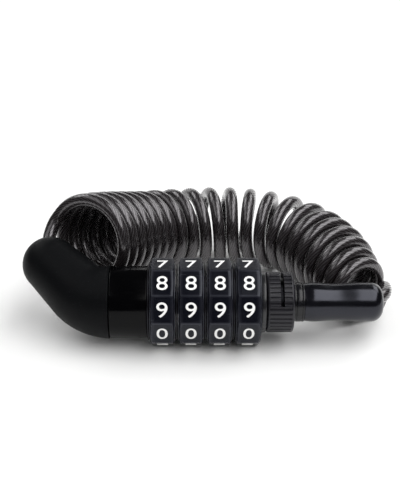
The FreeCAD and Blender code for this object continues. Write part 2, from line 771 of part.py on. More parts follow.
def make_pins():
    """Two cross pins driven in from the back: one holds the elbow, one the bolt's tail."""
    elbow_pin = rod("elbow_pin", Vector(pin_place.value, elbow_pin_start.value, axis_height.value), BACK,
                    elbow_rim_radius - pin_sink - elbow_pin_start, pin_radius)
    place = neck_right + plug_pin_place
    start = Vector(place.value, -(plug_pin_depth - part_gap).value, axis_height.value)
    plug_pin = rod("plug_pin", start, BACK, boot_waist + plug_pin_depth - part_gap - pin_sink, pin_radius)
    return [elbow_pin, plug_pin]


def make_ferrule(label, cable_end, bore):
    """Crimped sleeve on a cable end: its flat face meets the cable, two crimps round it."""
    body = doc.addObject("PartDesign::Body", label)
    body.Label = label
    crimped = ferrule_radius - crimp_depth
    corners = [(-ferrule_length, 0), (0, 0), (0, ferrule_radius)]
    half = crimp_width / 2
    for share in CRIMP_SHARES:
        middle = ferrule_length * share
        corners += [(half - middle, ferrule_radius), (half - crimp_depth - middle, crimped),
                    (crimp_depth - half - middle, crimped), (-(half + middle), ferrule_radius)]
    corners += [(-ferrule_length, ferrule_radius)]
    turn_profile(body, "crimped_tube", corners)
    body.Placement = FreeCAD.Placement(cable_end, FreeCAD.Rotation(PLUGWARD, bore))
    return body


def radius_after(turns):
    """Radius of the coil after a number of turns: wider at the elbow, narrower at the plug."""
    all_turns = sum(stretch[0] for stretch in AXIS_STRETCHES)
    wider = coil_extra_radius.value * math.exp(-(turns / coil_extra_turns) ** 2)
    narrower = coil_shrink.value * math.exp(-((all_turns - turns) / coil_shrink_turns) ** 2)
    return coil_radius.value + wider - narrower


def lay_out_axis():
    """Stations of the coil's axis, a fixed share of a turn apart: place, heading and dive.

    Each pitch keeps the gap of its stretch between neighbouring turns on the inside of the bend. The
    height counts from the last station, so that the last turns rest on the floor.
    """
    place = Vector(coil_start_across.value, coil_start_back.value, 0)
    heading = math.radians(coil_heading_angle.value)
    stations = []
    for turns, angle, dive_start, dive_end, gap in AXIS_STRETCHES:
        steps = round(turns * AXIS_STEPS)
        swing = math.radians(angle) / steps
        level = math.radians(coil_dive_angle.value) * (dive_start - dive_end) / steps
        for i in range(steps):
            dive = math.radians(coil_dive_angle.value) * dive_start - level * i
            stations.append((place, heading, dive))
            radius = radius_after(len(stations) / AXIS_STEPS)
            pitch = (cable_diameter + gap).value + radius * math.hypot(swing, level) * AXIS_STEPS
            middle = heading - swing / 2
            onward = Vector(math.cos(dive) * math.cos(middle), math.cos(dive) * math.sin(middle),
                            -math.sin(dive))
            place = place + onward * (pitch / AXIS_STEPS)
            heading -= swing
    stations.append((place, heading, 0))
    return [(point - UP * place.z, heading, dive) for point, heading, dive in stations]


axis_stations = lay_out_axis()


def coil_point(turns):
    """Centre of the cable after a number of turns: a helix about the bent axis."""
    before = min(int(turns * AXIS_STEPS), len(axis_stations) - 2)
    share = turns * AXIS_STEPS - before
    (foot, heading, dive), (next_foot, next_heading, next_dive) = axis_stations[before:before + 2]
    foot = foot + (next_foot - foot) * share
    heading += (next_heading - heading) * share
    dive += (next_dive - dive) * share
    along = Vector(math.cos(dive) * math.cos(heading), math.cos(dive) * math.sin(heading), -math.sin(dive))
    side = along.cross(UP).normalize()
    top = side.cross(along)
    radius = radius_after(turns)
    centre = foot + UP * (cable_diameter.value / 2 + coil_floor_gap.value + radius)
    phase = math.radians(360 * turns + coil_phase_angle.value)
    return centre + top * (radius * math.cos(phase)) + side * (radius * math.sin(phase))


def coil_tangent(turns):
    """Heading of the cable in the coil."""
    step = 0.02
    return (coil_point(turns + step) - coil_point(turns - step)).normalize()


def tangent_arc(start, heading, end):
    """Arc that leaves start along heading and ends at end: its edge and radius."""
    chord = end - start
    inward = (chord - heading * chord.dot(heading)).normalize()
    radius = chord.dot(chord) / (2 * chord.dot(inward))
    angle = 2 * math.atan2(chord.dot(inward), chord.dot(heading))
    middle = start + (heading * math.sin(angle / 2) + inward * (1 - math.cos(angle / 2))) * radius
    return Part.Arc(start, middle, end).toShape(), radius


def two_arcs(start, leave, end, arrive):
    """Two arcs that meet smoothly between two points with given headings."""
    gap = end - start
    both = leave + arrive
    spread = 1 - leave.dot(arrive)
    reach = (-gap.dot(both) + math.sqrt(gap.dot(both) ** 2 + 2 * spread * gap.dot(gap))) / (2 * spread)
    first, second = start + leave * reach, end - arrive * reach
    meeting = (first + second) / 2
    return [tangent_arc(start, leave, meeting), tangent_arc(meeting, (second - first).normalize(), end)]


def cable_path():
    """Cable's centreline from the elbow's ferrule to the plug's, and the radii of its arcs."""
    tip, _ = elbow_centre(cap_length.value)
    cap_mouth = tip + cap_bore * elbow_tip_radius.value
    plug_mouth = plug_bore_start + plug_bore * plug_straight.value
    steps = round((coil_end_turns - coil_begin_turns) * QUARTERS)
    turns = [coil_begin_turns + (coil_end_turns - coil_begin_turns) * i / steps for i in range(steps + 1)]
    points = [cap_mouth] + [coil_point(turn) for turn in turns] + [plug_mouth]
    headings = [cap_bore] + [coil_tangent(turn) for turn in turns] + [-plug_bore]
    edges = [Part.LineSegment(cap_mouth - cap_bore * cap_grip.value, cap_mouth).toShape()]
    radii = []
    for i in range(len(points) - 1):
        for edge, radius in two_arcs(points[i], headings[i], points[i + 1], headings[i + 1]):
            edges.append(edge)
            radii.append(radius)
    plug_end = plug_bore_start + plug_bore * plug_grip.value
    edges.append(Part.LineSegment(plug_mouth, plug_end).toShape())
    return Part.Wire(edges), radii


def least_gap(path, diameter):
    """Least free space between the cable and itself, on points 1 mm apart."""
    spacing = 1.0
    points = path.discretize(Distance=spacing)
    apart = int(3 * diameter / spacing)
    reach = 2 * diameter
    least = reach
    for i, point in enumerate(points):
        for other in points[i + apart:]:
            if abs(other.x - point.x) < least and abs(other.y - point.y) < least:
                least = min(least, (other - point).Length)
    return least - diameter


def make_cable():
    """Coiled steel cable: one unbroken many-sided tube along the path."""
    path, radii = cable_path()
    radius = cable_diameter.value / 2
    begin = path.Edges[0].firstVertex().Point
    corners = []
    for i in range(CABLE_SIDES + 1):
        angle = 2 * math.pi * i / CABLE_SIDES
        corners.append(Vector(radius * math.cos(angle), radius * math.sin(angle), 0))
    section = Part.makePolygon(corners)
    section.Placement = FreeCAD.Placement(begin, FreeCAD.Rotation(UP, cap_bore))
    shell = Part.BRepOffsetAPI.MakePipeShell(path)
    shell.add(section, False, False)
    shell.build()
    shell.makeSolid()
    cable = doc.addObject("Part::Feature", "cable_coil")
    cable.Label = "cable_coil"
    cable.Shape = shell.shape()
    expected = Part.Face(section).Area * path.Length
    print(f"cable: {path.Length / 1000:.3f} m long, {coil_end_turns - coil_begin_turns:.2f} turns")
    print(f"cable: smallest radii {[round(value, 1) for value in sorted(radii)[:4]]} mm")
    print(f"cable: volume is {cable.Shape.Volume / expected:.5f} of section times length")
    print(f"cable: least gap to itself {least_gap(path, cable_diameter.value):.2f} mm")
    return cable


pieces = []
for dial_number in range(1, DIALS + 1):
    pieces.append(make_dial(dial_number))
    pieces.append(make_code_sleeve(dial_number))
pieces.append(make_washer("first_washer", first_washer_place, spacer_thickness, spacer_radius))
for spacer_number in range(1, DIALS):
    pieces.append(make_washer(f"spacer_ring_{spacer_number}", dial_pitch * (spacer_number - 1.5),
                              spacer_thickness, spacer_radius))
pieces.append(make_washer("end_flange", flange_left + flange_thickness / 2, flange_thickness, flange_radius))
pieces += [make_core(), make_collar(), make_hub(), make_guide_pin(), make_reset_ring(), make_clip()]
pieces += [make_bolt(), make_neck(), make_boot(), make_elbow()]
pieces += make_pins()
cap_tip, _ = elbow_centre(cap_length.value)
cap_cable_end = cap_tip + cap_bore * (elbow_tip_radius - cap_grip).value
pieces.append(make_ferrule("elbow_ferrule", cap_cable_end, cap_bore))
pieces.append(make_ferrule("plug_ferrule", plug_bore_start + plug_bore * plug_grip.value, plug_bore))
pieces.append(make_cable())
doc.recompute()

os.makedirs("parts", exist_ok=True)
failed = [item.Name for item in doc.Objects if "Invalid" in item.State or "Error" in item.State]
if failed:
    raise RuntimeError(f"failed objects: {failed}")
for piece in pieces:
    shape = piece.Shape
    if shape.isNull() or not shape.isValid() or len(shape.Solids) != 1:
        raise RuntimeError(f"bad shape: {piece.Label}")
for piece in pieces:
    piece.Shape.exportStep(f"parts/{piece.Label}.step")
    print(piece.Label, round(piece.Shape.Volume, 1))
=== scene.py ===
"""Looks of the coiled cable lock, put together piece by piece round its CAD frame.

Metres. +X runs along the lock to the plug, +Y to the cable behind it, +Z up from the table.
"""
import bpy
import math
import numpy as np
from mathutils import Matrix


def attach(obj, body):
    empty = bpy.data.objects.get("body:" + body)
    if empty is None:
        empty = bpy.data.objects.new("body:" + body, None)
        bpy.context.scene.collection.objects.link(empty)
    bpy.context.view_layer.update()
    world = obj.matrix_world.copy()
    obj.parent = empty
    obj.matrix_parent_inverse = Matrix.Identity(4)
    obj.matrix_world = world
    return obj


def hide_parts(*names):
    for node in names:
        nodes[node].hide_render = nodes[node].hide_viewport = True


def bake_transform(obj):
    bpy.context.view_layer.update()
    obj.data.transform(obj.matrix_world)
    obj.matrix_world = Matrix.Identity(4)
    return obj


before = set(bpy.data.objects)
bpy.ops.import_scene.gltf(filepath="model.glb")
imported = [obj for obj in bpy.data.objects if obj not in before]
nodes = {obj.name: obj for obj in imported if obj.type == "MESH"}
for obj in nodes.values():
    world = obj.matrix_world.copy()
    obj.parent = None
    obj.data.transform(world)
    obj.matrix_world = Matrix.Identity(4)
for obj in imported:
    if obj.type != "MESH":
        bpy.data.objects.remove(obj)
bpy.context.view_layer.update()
scene = bpy.context.scene
scene.view_settings.view_transform = "Standard"


# Camera: a short telephoto in front of the dials, looking 25.5 degrees down at the lock.
# It stands 360 mm away, nearly square to the lock, with the plug's end a little farther off.
AXIS_HEIGHT = 0.0147414
PICTURE_WIDE, PICTURE_HIGH = 400, 489
SENSOR = 0.036
PIXELS_PER_METRE = 2870
camera_distance = 0.360
look_down = math.radians(25.5)
look_aside = math.radians(0.8)
camera_roll = math.radians(0.4)
dials_middle = np.array([0.004885, 0.0, AXIS_HEIGHT])
dials_middle_pixel = (205.0, 301.9)

focal_pixels = PIXELS_PER_METRE * camera_distance
ahead = np.array([
    math.sin(look_aside) * math.cos(look_down),
    math.cos(look_aside) * math.cos(look_down),
    -math.sin(look_down)])
level_right = np.array([math.cos(look_aside), -math.sin(look_aside), 0.0])
level_up = np.cross(level_right, ahead)
right = math.cos(camera_roll) * level_right + math.sin(camera_roll) * level_up
up = math.cos(camera_roll) * level_up - math.sin(camera_roll) * level_right
across = (dials_middle_pixel[0] - PICTURE_WIDE / 2) / focal_pixels * camera_distance
above = (PICTURE_HIGH / 2 - dials_middle_pixel[1]) / focal_pixels * camera_distance
eye = dials_middle - camera_distance * ahead - across * right - above * up

camera = bpy.data.objects.new("camera", bpy.data.cameras.new("camera"))
camera.data.sensor_width = SENSOR * 1000
camera.data.lens = SENSOR * 1000 * focal_pixels / PICTURE_HIGH
camera.data.clip_start = 0.01
camera.data.clip_end = 20.0
camera.matrix_world = Matrix((
    (right[0], up[0], -ahead[0], eye[0]),
    (right[1], up[1], -ahead[1], eye[1]),
    (right[2], up[2], -ahead[2], eye[2]),
    (0.0, 0.0, 0.0, 1.0)))
scene.collection.objects.link(camera)
scene.camera = camera


# Cable: steel wire rope in a smoked clear vinyl jacket, set in a springy coil.
# It leaves the elbow, makes 21.6 turns round a bent axis on the table and runs into the plug.
CABLE = 0.0048
COIL_RADIUS = 0.01294
COIL_EXTRA, COIL_EXTRA_TURNS = 0.0020, 6.17
COIL_SHRINK, COIL_SHRINK_TURNS = 0.0035, 2.7
COIL_FLOOR_GAP = 0.00005
COIL_START = (-0.03771, 0.02050)
COIL_HEADING = 57.65
COIL_DIVE = 13.0
COIL_PHASE = -93.88
COIL_BEGIN, COIL_END = 0.12, 21.747
POINTS_PER_TURN, POINTS_AROUND = 24, 20
# Turns, angle turned to the right, dive at the start and end as shares of the first dive, gap inside
AXIS_STRETCHES = (
    (6, 3.4, 1.0, 1.0, 0.00047),
    (2, 24.4, 1.0, 0.5, 0.00047),
    (2, 21.1, 0.5, 0.0, 0.00047),
    (3, 29.1, 0.0, 0.0, 0.00047),
    (3, 41.2, 0.0, 0.0, 0.00079),
    (3, 0.7, 0.0, 0.0, 0.00186),
    (3, 0.1, 0.0, 0.0, 0.00057),
)
AXIS_STEPS = 50
ELBOW_MOUTH = (-0.05124, 0.02020, 0.02641)
ELBOW_TAIL = ((-0.04984, 0.01226, 0.02425), ELBOW_MOUTH, (-0.05148, 0.02240, 0.02715),
              (-0.05142, 0.02445, 0.02830), (-0.05088, 0.02640, 0.03000), (-0.04985, 0.02810, 0.03225),
              (-0.04848, 0.02895, 0.03415))
PLUG_MOUTH = (0.0656, 0.0034, 0.0139)
PLUG_TAIL = ((0.06650, 0.01440, 0.00255), (0.06910, 0.01730, 0.00390), (0.07040, 0.01920, 0.00670),
             (0.07070, 0.01900, 0.00980), (0.07050, 0.01640, 0.01220), (0.07000, 0.01180, 0.01340),
             (0.06880, 0.00720, 0.01390), PLUG_MOUTH, (0.06303, 0.00148, 0.01359))
# After the photograph: the last turns stand a little to the left of the CAD tube
DRAWN_IN, DRAWN_IN_TURNS = 0.0026, 3.5


def unit(vectors):
    """Each vector divided by its own length."""
    return vectors / np.linalg.norm(vectors, axis=-1, keepdims=True)


def coil_radius(turns):
    """Radius of the coil after some turns: radius + extra - shrink.

    Extra and shrink are bell curves of the turns, highest at the elbow and at the plug.
    """
    all_turns = sum(stretch[0] for stretch in AXIS_STRETCHES)
    wider = COIL_EXTRA * np.exp(-(turns / COIL_EXTRA_TURNS) ** 2)
    return COIL_RADIUS + wider - COIL_SHRINK * np.exp(-((all_turns - turns) / COIL_SHRINK_TURNS) ** 2)


def lay_out_axis():
    """Stations of the coil's axis, a fixed share of a turn apart: x, y, z, heading and dive.

    A step is pitch / steps long, where the pitch is cable + gap + radius x bend in a turn, so that
    neighbouring turns keep the gap on the inside of the bend. The last station lies on the table.
    """
    place = np.array([*COIL_START, 0.0])
    heading = math.radians(COIL_HEADING)
    stations = []
    for turns, angle, dive_start, dive_end, gap in AXIS_STRETCHES:
        steps = turns * AXIS_STEPS
        swing = math.radians(angle) / steps
        level = math.radians(COIL_DIVE) * (dive_start - dive_end) / steps
        for i in range(steps):
            dive = math.radians(COIL_DIVE) * dive_start - level * i
            stations.append((*place, heading, dive))
            radius = coil_radius(len(stations) / AXIS_STEPS)
            pitch = CABLE + gap + radius * math.hypot(swing, level) * AXIS_STEPS
            middle = heading - swing / 2
            onward = np.array([
                math.cos(dive) * math.cos(middle), math.cos(dive) * math.sin(middle), -math.sin(dive)])
            place = place + onward * pitch / AXIS_STEPS
            heading -= swing
    stations.append((*place, heading, 0.0))
    return np.array(stations) - (0.0, 0.0, place[2], 0.0, 0.0)


axis_stations = lay_out_axis()


def coil_points(turns):
    """Centre of the cable: a point that goes round the axis at the coil's radius while the axis runs on.

    It is foot + top x radius x cos(phase) + side x radius x sin(phase), less a shift to the left that
    grows as a bell curve of the turns towards the plug.
    """
    turn_of = np.arange(len(axis_stations)) / AXIS_STEPS
    x, y, z, heading, dive = (np.interp(turns, turn_of, values) for values in axis_stations.T)
    along = np.stack([np.cos(dive) * np.cos(heading), np.cos(dive) * np.sin(heading), -np.sin(dive)], -1)
    side = unit(np.cross(along, (0.0, 0.0, 1.0)))
    top = np.cross(side, along)
    radius = coil_radius(turns)[:, None]
    centre = np.stack([x, y, z + CABLE / 2 + COIL_FLOOR_GAP], -1) + radius * (0.0, 0.0, 1.0)
    phase = np.radians(360 * turns + COIL_PHASE)[:, None]
    drawn = DRAWN_IN * np.exp(-((COIL_END - turns) / DRAWN_IN_TURNS) ** 2)
    around = top * radius * np.cos(phase) + side * radius * np.sin(phase)
    return centre + around - drawn[:, None] * (1.0, 0.0, 0.0)


turns = np.linspace(COIL_BEGIN, COIL_END, round((COIL_END - COIL_BEGIN) * POINTS_PER_TURN) + 1)
route = np.vstack([ELBOW_TAIL, coil_points(turns), PLUG_TAIL])
line = bpy.data.curves.new("cable_line", "CURVE")
line.dimensions = "3D"
spline = line.splines.new("NURBS")
spline.points.add(len(route) - 1)
spline.points.foreach_set("co", np.column_stack([route, np.ones(len(route))]).ravel())
spline.order_u = 3
spline.use_endpoint_u = True
spline.resolution_u = 5
line_object = bpy.data.objects.new("cable_line", line)
scene.collection.objects.link(line_object)
bpy.context.view_layer.update()
line_mesh = bpy.data.meshes.new_from_object(line_object)
path = np.array([vertex.co for vertex in line_mesh.vertices])
bpy.data.objects.remove(line_object)


def frames_along(points):
    """Heading and two sides at each point: the sides are carried on without twist from point to point."""
    heading = unit(np.gradient(points, axis=0))
    side = np.empty_like(points)
    side[0] = unit(np.cross(heading[0], (0.3, 0.2, 1.0)))
    for i in range(1, len(points)):
        kept = side[i - 1] - heading[i] * (side[i - 1] @ heading[i])
        side[i] = kept / np.linalg.norm(kept)
    return heading, side, np.cross(heading, side)


def tube(points, radius, around):
    """Rings round a line: centre + side x radius x cos(turn) + other side x radius x sin(turn)."""
    _, side, other = frames_along(points)
    turn = np.linspace(0, 2 * math.pi, around, endpoint=False)[None, :, None]
    radius = np.broadcast_to(radius, len(points))[:, None, None]
    return points[:, None] + radius * (side[:, None] * np.cos(turn) + other[:, None] * np.sin(turn))


def surface(name, rings, closed=False, edge_highlight=None, along=None, crease=35):
    """Mesh object through rings of points, rings x points x 3, each ring joined to the next.

    The last ring joins the first when closed; otherwise a fan to its middle closes each end.
    The edge mark, from 0 to 1 at each point, says where a painted edge highlight goes, and along is each
    ring's distance for a UV map. A face that crosses the seam of that map has its low corners raised by one
    whole turn.
    """
    count, around = rings.shape[:2]
    points = rings.reshape(-1, 3)
    last = count if closed else count - 1
    near = np.arange(last)[:, None] * around
    far = (np.arange(1, last + 1) % count)[:, None] * around
    spot = np.arange(around)
    beside = (spot + 1) % around
    quads = np.stack([near + spot, near + beside, far + beside, far + spot], -1).reshape(-1, 4)
    corners = points[quads]
    spread = np.cross(corners[:, 2] - corners[:, 0], corners[:, 3] - corners[:, 1])
    inside_out = (corners.mean(1) * spread).sum() < 0
    faces = quads.tolist()
    if not closed:
        points = np.vstack([points, rings[0].mean(0), rings[-1].mean(0)])
        ends = (count - 1) * around
        head, tail = np.full(around, len(points) - 2), np.full(around, len(points) - 1)
        faces += np.stack([head, beside, spot], -1).tolist()
        faces += np.stack([tail, ends + spot, ends + beside], -1).tolist()
    if inside_out:
        faces = [face[::-1] for face in faces]
    mesh = bpy.data.meshes.new(name)
    mesh.from_pydata(points.tolist(), [], faces)
    if edge_highlight is not None:
        marks = np.zeros(len(points), np.float32)
        marks[:count * around] = np.broadcast_to(edge_highlight, (count, around)).ravel()
        mesh.attributes.new("edge_highlight", "FLOAT", "POINT").data.foreach_set("value", marks)
    if along is not None:
        lengths = np.append(np.repeat(along, around), (along[0], along[-1]))
        turns_round = np.append(np.tile(spot / around, count), (0.5, 0.5))
        corner_of = np.concatenate([np.array(face) for face in faces])
        u, v = lengths[corner_of], turns_round[corner_of]
        sizes = np.array([len(face) for face in faces])
        highest = np.repeat(np.maximum.reduceat(v, np.cumsum(sizes) - sizes), sizes)
        v = np.where(highest - v > 0.6, v + 1, v)
        mesh.uv_layers.new(name="route").data.foreach_set("uv", np.column_stack([u, v]).ravel())
    mesh.validate()
    mesh.shade_smooth()
    mesh.set_sharp_from_angle(angle=math.radians(crease))
    made = bpy.data.objects.new(name, mesh)
    scene.collection.objects.link(made)
    return made


def tone(text):
    """Linear colour of a written one such as 15171a."""
    parts = np.array([int(text[i:i + 2], 16) for i in (0, 2, 4)]) / 255
    linear = np.where(parts > 0.04045, ((parts + 0.055) / 1.055) ** 2.4, parts / 12.92)
    return (*linear.tolist(), 1.0)


def add(tree, kind, **values):
    """A node of a kind, with its properties and then its inputs set by name."""
    made = tree.nodes.new(kind)
    for name, value in values.items():
        if name in made.bl_rna.properties:
            setattr(made, name, value)
        else:
            made.inputs[int(name[1:]) if name[0] == "_" else name.replace("_", " ")].default_value = value
    return made


def finish_of(name, **values):
    """A material, its node tree and its shader with plain values set by name."""
    material = bpy.data.materials.new(name)
    material.use_nodes = True
    shader = material.node_tree.nodes["Principled BSDF"]
    for key, value in values.items():
        shader.inputs[key.replace("_", " ")].default_value = value
    return material, material.node_tree, shader


def new_group(name, inputs, outputs):
    """An empty shader group with number inputs and outputs, and its two end nodes."""
    group = bpy.data.node_groups.new(name, "ShaderNodeTree")
    for label, value in inputs.items():
        socket = group.interface.new_socket(label, in_out="INPUT", socket_type="NodeSocketFloat")
        socket.default_value = value
    for label in outputs:
        group.interface.new_socket(label, in_out="OUTPUT", socket_type="NodeSocketFloat")
    return group, group.nodes.new("NodeGroupInput"), group.nodes.new("NodeGroupOutput")


def add_group(tree, group, **values):
    """A group placed in a material, with its inputs set by name."""
    made = tree.nodes.new("ShaderNodeGroup")
    made.node_tree = group
    for name, value in values.items():
        made.inputs[name.replace("_", " ")].default_value = value
    return made


# Fine rubbing and dust that every finish of the lock carries: a soft blotch and faint scratches
handling, group_in, group_out = new_group("handling", {"Blotch": 120.0, "Scratch": 900.0}, ("Rub", "Dust"))
place = add(handling, "ShaderNodeTexCoord")
blotch = add(handling, "ShaderNodeTexNoise", Detail=3.0, Roughness=0.55)
stretch = add(handling, "ShaderNodeMapping", Scale=(0.12, 1.0, 1.0), Rotation=(0.4, 0.3, 0.7))
scratch = add(handling, "ShaderNodeTexNoise", Detail=2.0, Roughness=0.6)
thin = add(handling, "ShaderNodeMapRange", From_Min=0.60, From_Max=0.72)
both = add(handling, "ShaderNodeMath", operation="MULTIPLY_ADD", _1=0.35)
specks = add(handling, "ShaderNodeTexNoise", Scale=2600.0, Detail=1.0)
dust = add(handling, "ShaderNodeMapRange", From_Min=0.66, From_Max=0.78)
handling.links.new(place.outputs["Object"], blotch.inputs["Vector"])
handling.links.new(group_in.outputs["Blotch"], blotch.inputs["Scale"])
handling.links.new(place.outputs["Object"], stretch.inputs["Vector"])
handling.links.new(stretch.outputs["Vector"], scratch.inputs["Vector"])
handling.links.new(group_in.outputs["Scratch"], scratch.inputs["Scale"])
handling.links.new(scratch.outputs["Fac"], thin.inputs["Value"])
handling.links.new(thin.outputs["Result"], both.inputs[0])
handling.links.new(blotch.outputs["Fac"], both.inputs[2])
handling.links.new(both.outputs["Value"], group_out.inputs["Rub"])
handling.links.new(place.outputs["Object"], specks.inputs["Vector"])
handling.links.new(specks.outputs["Fac"], dust.inputs["Value"])
handling.links.new(dust.outputs["Result"], group_out.inputs["Dust"])


def wear(tree, shader, colour, worn, low, high, amount=1.0):
    """Handling in a finish: roughness runs from low to high with the rub, dust specks lighten the colour."""
    marks = add_group(tree, handling)
    rough = add(tree, "ShaderNodeMapRange", From_Min=0.35, From_Max=0.85, To_Min=low, To_Max=high)
    tint = add(tree, "ShaderNodeMix", data_type="RGBA", _6=tone(colour), _7=tone(worn))
    share = add(tree, "ShaderNodeMath", operation="MULTIPLY", _1=amount)
    tree.links.new(marks.outputs["Rub"], rough.inputs["Value"])
    tree.links.new(rough.outputs["Result"], shader.inputs["Roughness"])
    tree.links.new(marks.outputs["Dust"], share.inputs[0])
    tree.links.new(share.outputs["Value"], tint.inputs[0])
    tree.links.new(tint.outputs[2], shader.inputs["Base Color"])
    return marks, tint


# The rope shows through the jacket as fine slanting wires: ROPE_WIRES of them lie side by side
ROPE_WIRES = 15
ROPE_LAY = 0.0320
vinyl, tree, shader = finish_of(
    "smoked_vinyl", Metallic=0.05, Coat_Weight=0.7, Coat_Roughness=0.10, IOR=1.5, Specular_IOR_Level=1.0,
    Specular_Tint=(1.0, 0.95, 1.0, 1.0))
route_map = add(tree, "ShaderNodeUVMap", uv_map="route")
parts = add(tree, "ShaderNodeSeparateXYZ")
round_it = add(tree, "ShaderNodeMath", operation="MULTIPLY", _1=float(ROPE_WIRES))
lay = add(tree, "ShaderNodeMath", operation="MULTIPLY_ADD", _1=-ROPE_WIRES / ROPE_LAY)
angle = add(tree, "ShaderNodeMath", operation="MULTIPLY", _1=2 * math.pi)
wave = add(tree, "ShaderNodeMath", operation="SINE")
wire = add(tree, "ShaderNodeMapRange", From_Min=-0.95, From_Max=0.1)
tree.links.new(route_map.outputs["UV"], parts.inputs["Vector"])
tree.links.new(parts.outputs["Y"], round_it.inputs[0])
tree.links.new(parts.outputs["X"], lay.inputs[0])
tree.links.new(round_it.outputs["Value"], lay.inputs[2])
tree.links.new(lay.outputs["Value"], angle.inputs[0])
tree.links.new(angle.outputs["Value"], wave.inputs[0])
tree.links.new(wave.outputs["Value"], wire.inputs["Value"])
smoke = add(tree, "ShaderNodeMix", data_type="RGBA", _6=tone("020101"), _7=tone("1a1516"))
tree.links.new(wire.outputs["Result"], smoke.inputs[0])
tree.links.new(smoke.outputs[2], shader.inputs["Base Color"])
marks = add_group(tree, handling, Blotch=200.0)
dull = add(tree, "ShaderNodeMapRange", From_Min=0.35, From_Max=0.85, To_Min=0.15, To_Max=0.26)
between = add(tree, "ShaderNodeMapRange", To_Min=0.62)
tree.links.new(marks.outputs["Rub"], dull.inputs["Value"])
tree.links.new(wire.outputs["Result"], between.inputs["Value"])
tree.links.new(dull.outputs["Result"], between.inputs["To Max"])
tree.links.new(between.outputs["Result"], shader.inputs["Roughness"])
ridge = add(tree, "ShaderNodeBump", Strength=0.25, Distance=0.00006)
tree.links.new(wire.outputs["Result"], ridge.inputs["Height"])
tree.links.new(ridge.outputs["Normal"], shader.inputs["Normal"])

distance = np.append(0, np.cumsum(np.linalg.norm(np.diff(path, axis=0), axis=1)))
cable = surface("cable", tube(path, CABLE / 2, POINTS_AROUND), along=distance, crease=60)
cable.data.materials.append(vinyl)
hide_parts("cable_coil")
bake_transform(cable)


# Inner parts: a slotted core and hub of blackened cast zinc, brass ferrules, and a toothed bolt, code
# sleeves, pins and a clip of steel. They are turned and milled, and mostly hidden in the shut lock.
INNER = {
    "blackened_zinc": ("body_core", "reset_hub"),
    "cut_brass": ("elbow_ferrule", "plug_ferrule"),
    "cut_steel": ("plug_bolt", "guide_pin", "hub_clip", "elbow_pin", "plug_pin", "code_sleeve_1",
                  "code_sleeve_2", "code_sleeve_3", "code_sleeve_4"),
}
for name, colour, worn in (
        ("blackened_zinc", "1c1c1f", "3a3a3e"),
        ("cut_brass", "a8874e", "6f5a36"),
        ("cut_steel", "a9a9ac", "6d6d70")):
    material, tree, shader = finish_of(name, Metallic=1.0)
    wear(tree, shader, colour, worn, 0.22, 0.45)
    turning = add(
        tree, "ShaderNodeTexWave", wave_type="BANDS", bands_direction="X", Scale=900.0, Distortion=0.4)
    coordinate = add(tree, "ShaderNodeTexCoord")
    cut_marks = add(tree, "ShaderNodeBump", Strength=0.15, Distance=0.00002)
    tree.links.new(coordinate.outputs["Object"], turning.inputs["Vector"])
    tree.links.new(turning.outputs["Fac"], cut_marks.inputs["Height"])
    tree.links.new(cut_marks.outputs["Normal"], shader.inputs["Normal"])
    for node in INNER[name]:
        nodes[node].data.materials.clear()
        nodes[node].data.materials.append(material)


# Elbow cap: one moulding of matt black plastic with a fine spark-eroded grain.
# It narrows as it bends up and back from the collar, and the cable leaves through its domed end.
ELBOW_RIM_PLACE = -0.028155
ELBOW_RIM, ELBOW_TIP = 0.01275, 0.0098
ELBOW_LEAD, ELBOW_CURVE, ELBOW_RUN = 0.0006, 0.0152, 0.0143
elbow_turn = math.radians(44.0)
elbow_tilt = math.radians(40.0)
elbow_side = np.array([0.0, math.cos(elbow_tilt), math.sin(elbow_tilt)])
elbow_bend = ELBOW_CURVE * elbow_turn
elbow_length = ELBOW_LEAD + elbow_bend + ELBOW_RUN


def elbow_line(distance):
    """Centreline of the elbow: straight, then one arc in a tilted plane, then straight again.

    Each part adds its own length x heading, and the arc adds radius x (sin, 1 - cos) of its angle.
    """
    outward = np.array([-1.0, 0.0, 0.0])
    straight = np.minimum(distance, ELBOW_LEAD)[:, None]
    bent = np.clip(distance - ELBOW_LEAD, 0, elbow_bend)[:, None] / ELBOW_CURVE
    rest = np.clip(distance - ELBOW_LEAD - elbow_bend, 0, None)[:, None]
    heading = outward * np.cos(bent) + elbow_side * np.sin(bent)
    arc = (outward * np.sin(bent) + elbow_side * (1 - np.cos(bent))) * ELBOW_CURVE
    return np.array([ELBOW_RIM_PLACE, 0.0, AXIS_HEIGHT]) + outward * straight + arc + heading * rest, heading


ELBOW_RIM_WIDE, ELBOW_RIM_ROUND, ELBOW_RIM_BOW = 0.004, 0.0003, 0.00009
ELBOW_STOPS, DOME_STOPS, ELBOW_AROUND = 70, 26, 96
stops = np.linspace(0, elbow_length, ELBOW_STOPS)
elbow_radius = ELBOW_RIM - (ELBOW_RIM - ELBOW_TIP) * stops / elbow_length
centres, headings = elbow_line(stops)
dome = np.linspace(0, math.pi / 2, DOME_STOPS)[1:-1]
tip, tip_heading = centres[-1], headings[-1]
centres = np.vstack([
    centres[:1] + np.array([[0.0, 0, 0], [0.0, 0, 0], [-ELBOW_RIM_BOW, 0, 0]]),
    centres[1:], tip + np.sin(dome)[:, None] * ELBOW_TIP * tip_heading])
headings = np.vstack([headings[:1].repeat(3, 0), headings[1:], tip_heading[None].repeat(len(dome), 0)])
elbow_radius = np.concatenate([
    (ELBOW_RIM - ELBOW_RIM_WIDE, ELBOW_RIM - ELBOW_RIM_ROUND, ELBOW_RIM - ELBOW_RIM_BOW),
    elbow_radius[1:], ELBOW_TIP * np.cos(dome)])
across_elbow = np.array([0.0, -math.sin(elbow_tilt), math.cos(elbow_tilt)])
turn = np.linspace(0, 2 * math.pi, ELBOW_AROUND, endpoint=False)[None, :, None]
inward = np.cross(headings, across_elbow)
elbow_rings = centres[:, None] + elbow_radius[:, None, None] * (
    across_elbow * np.cos(turn) + inward[:, None] * np.sin(turn))

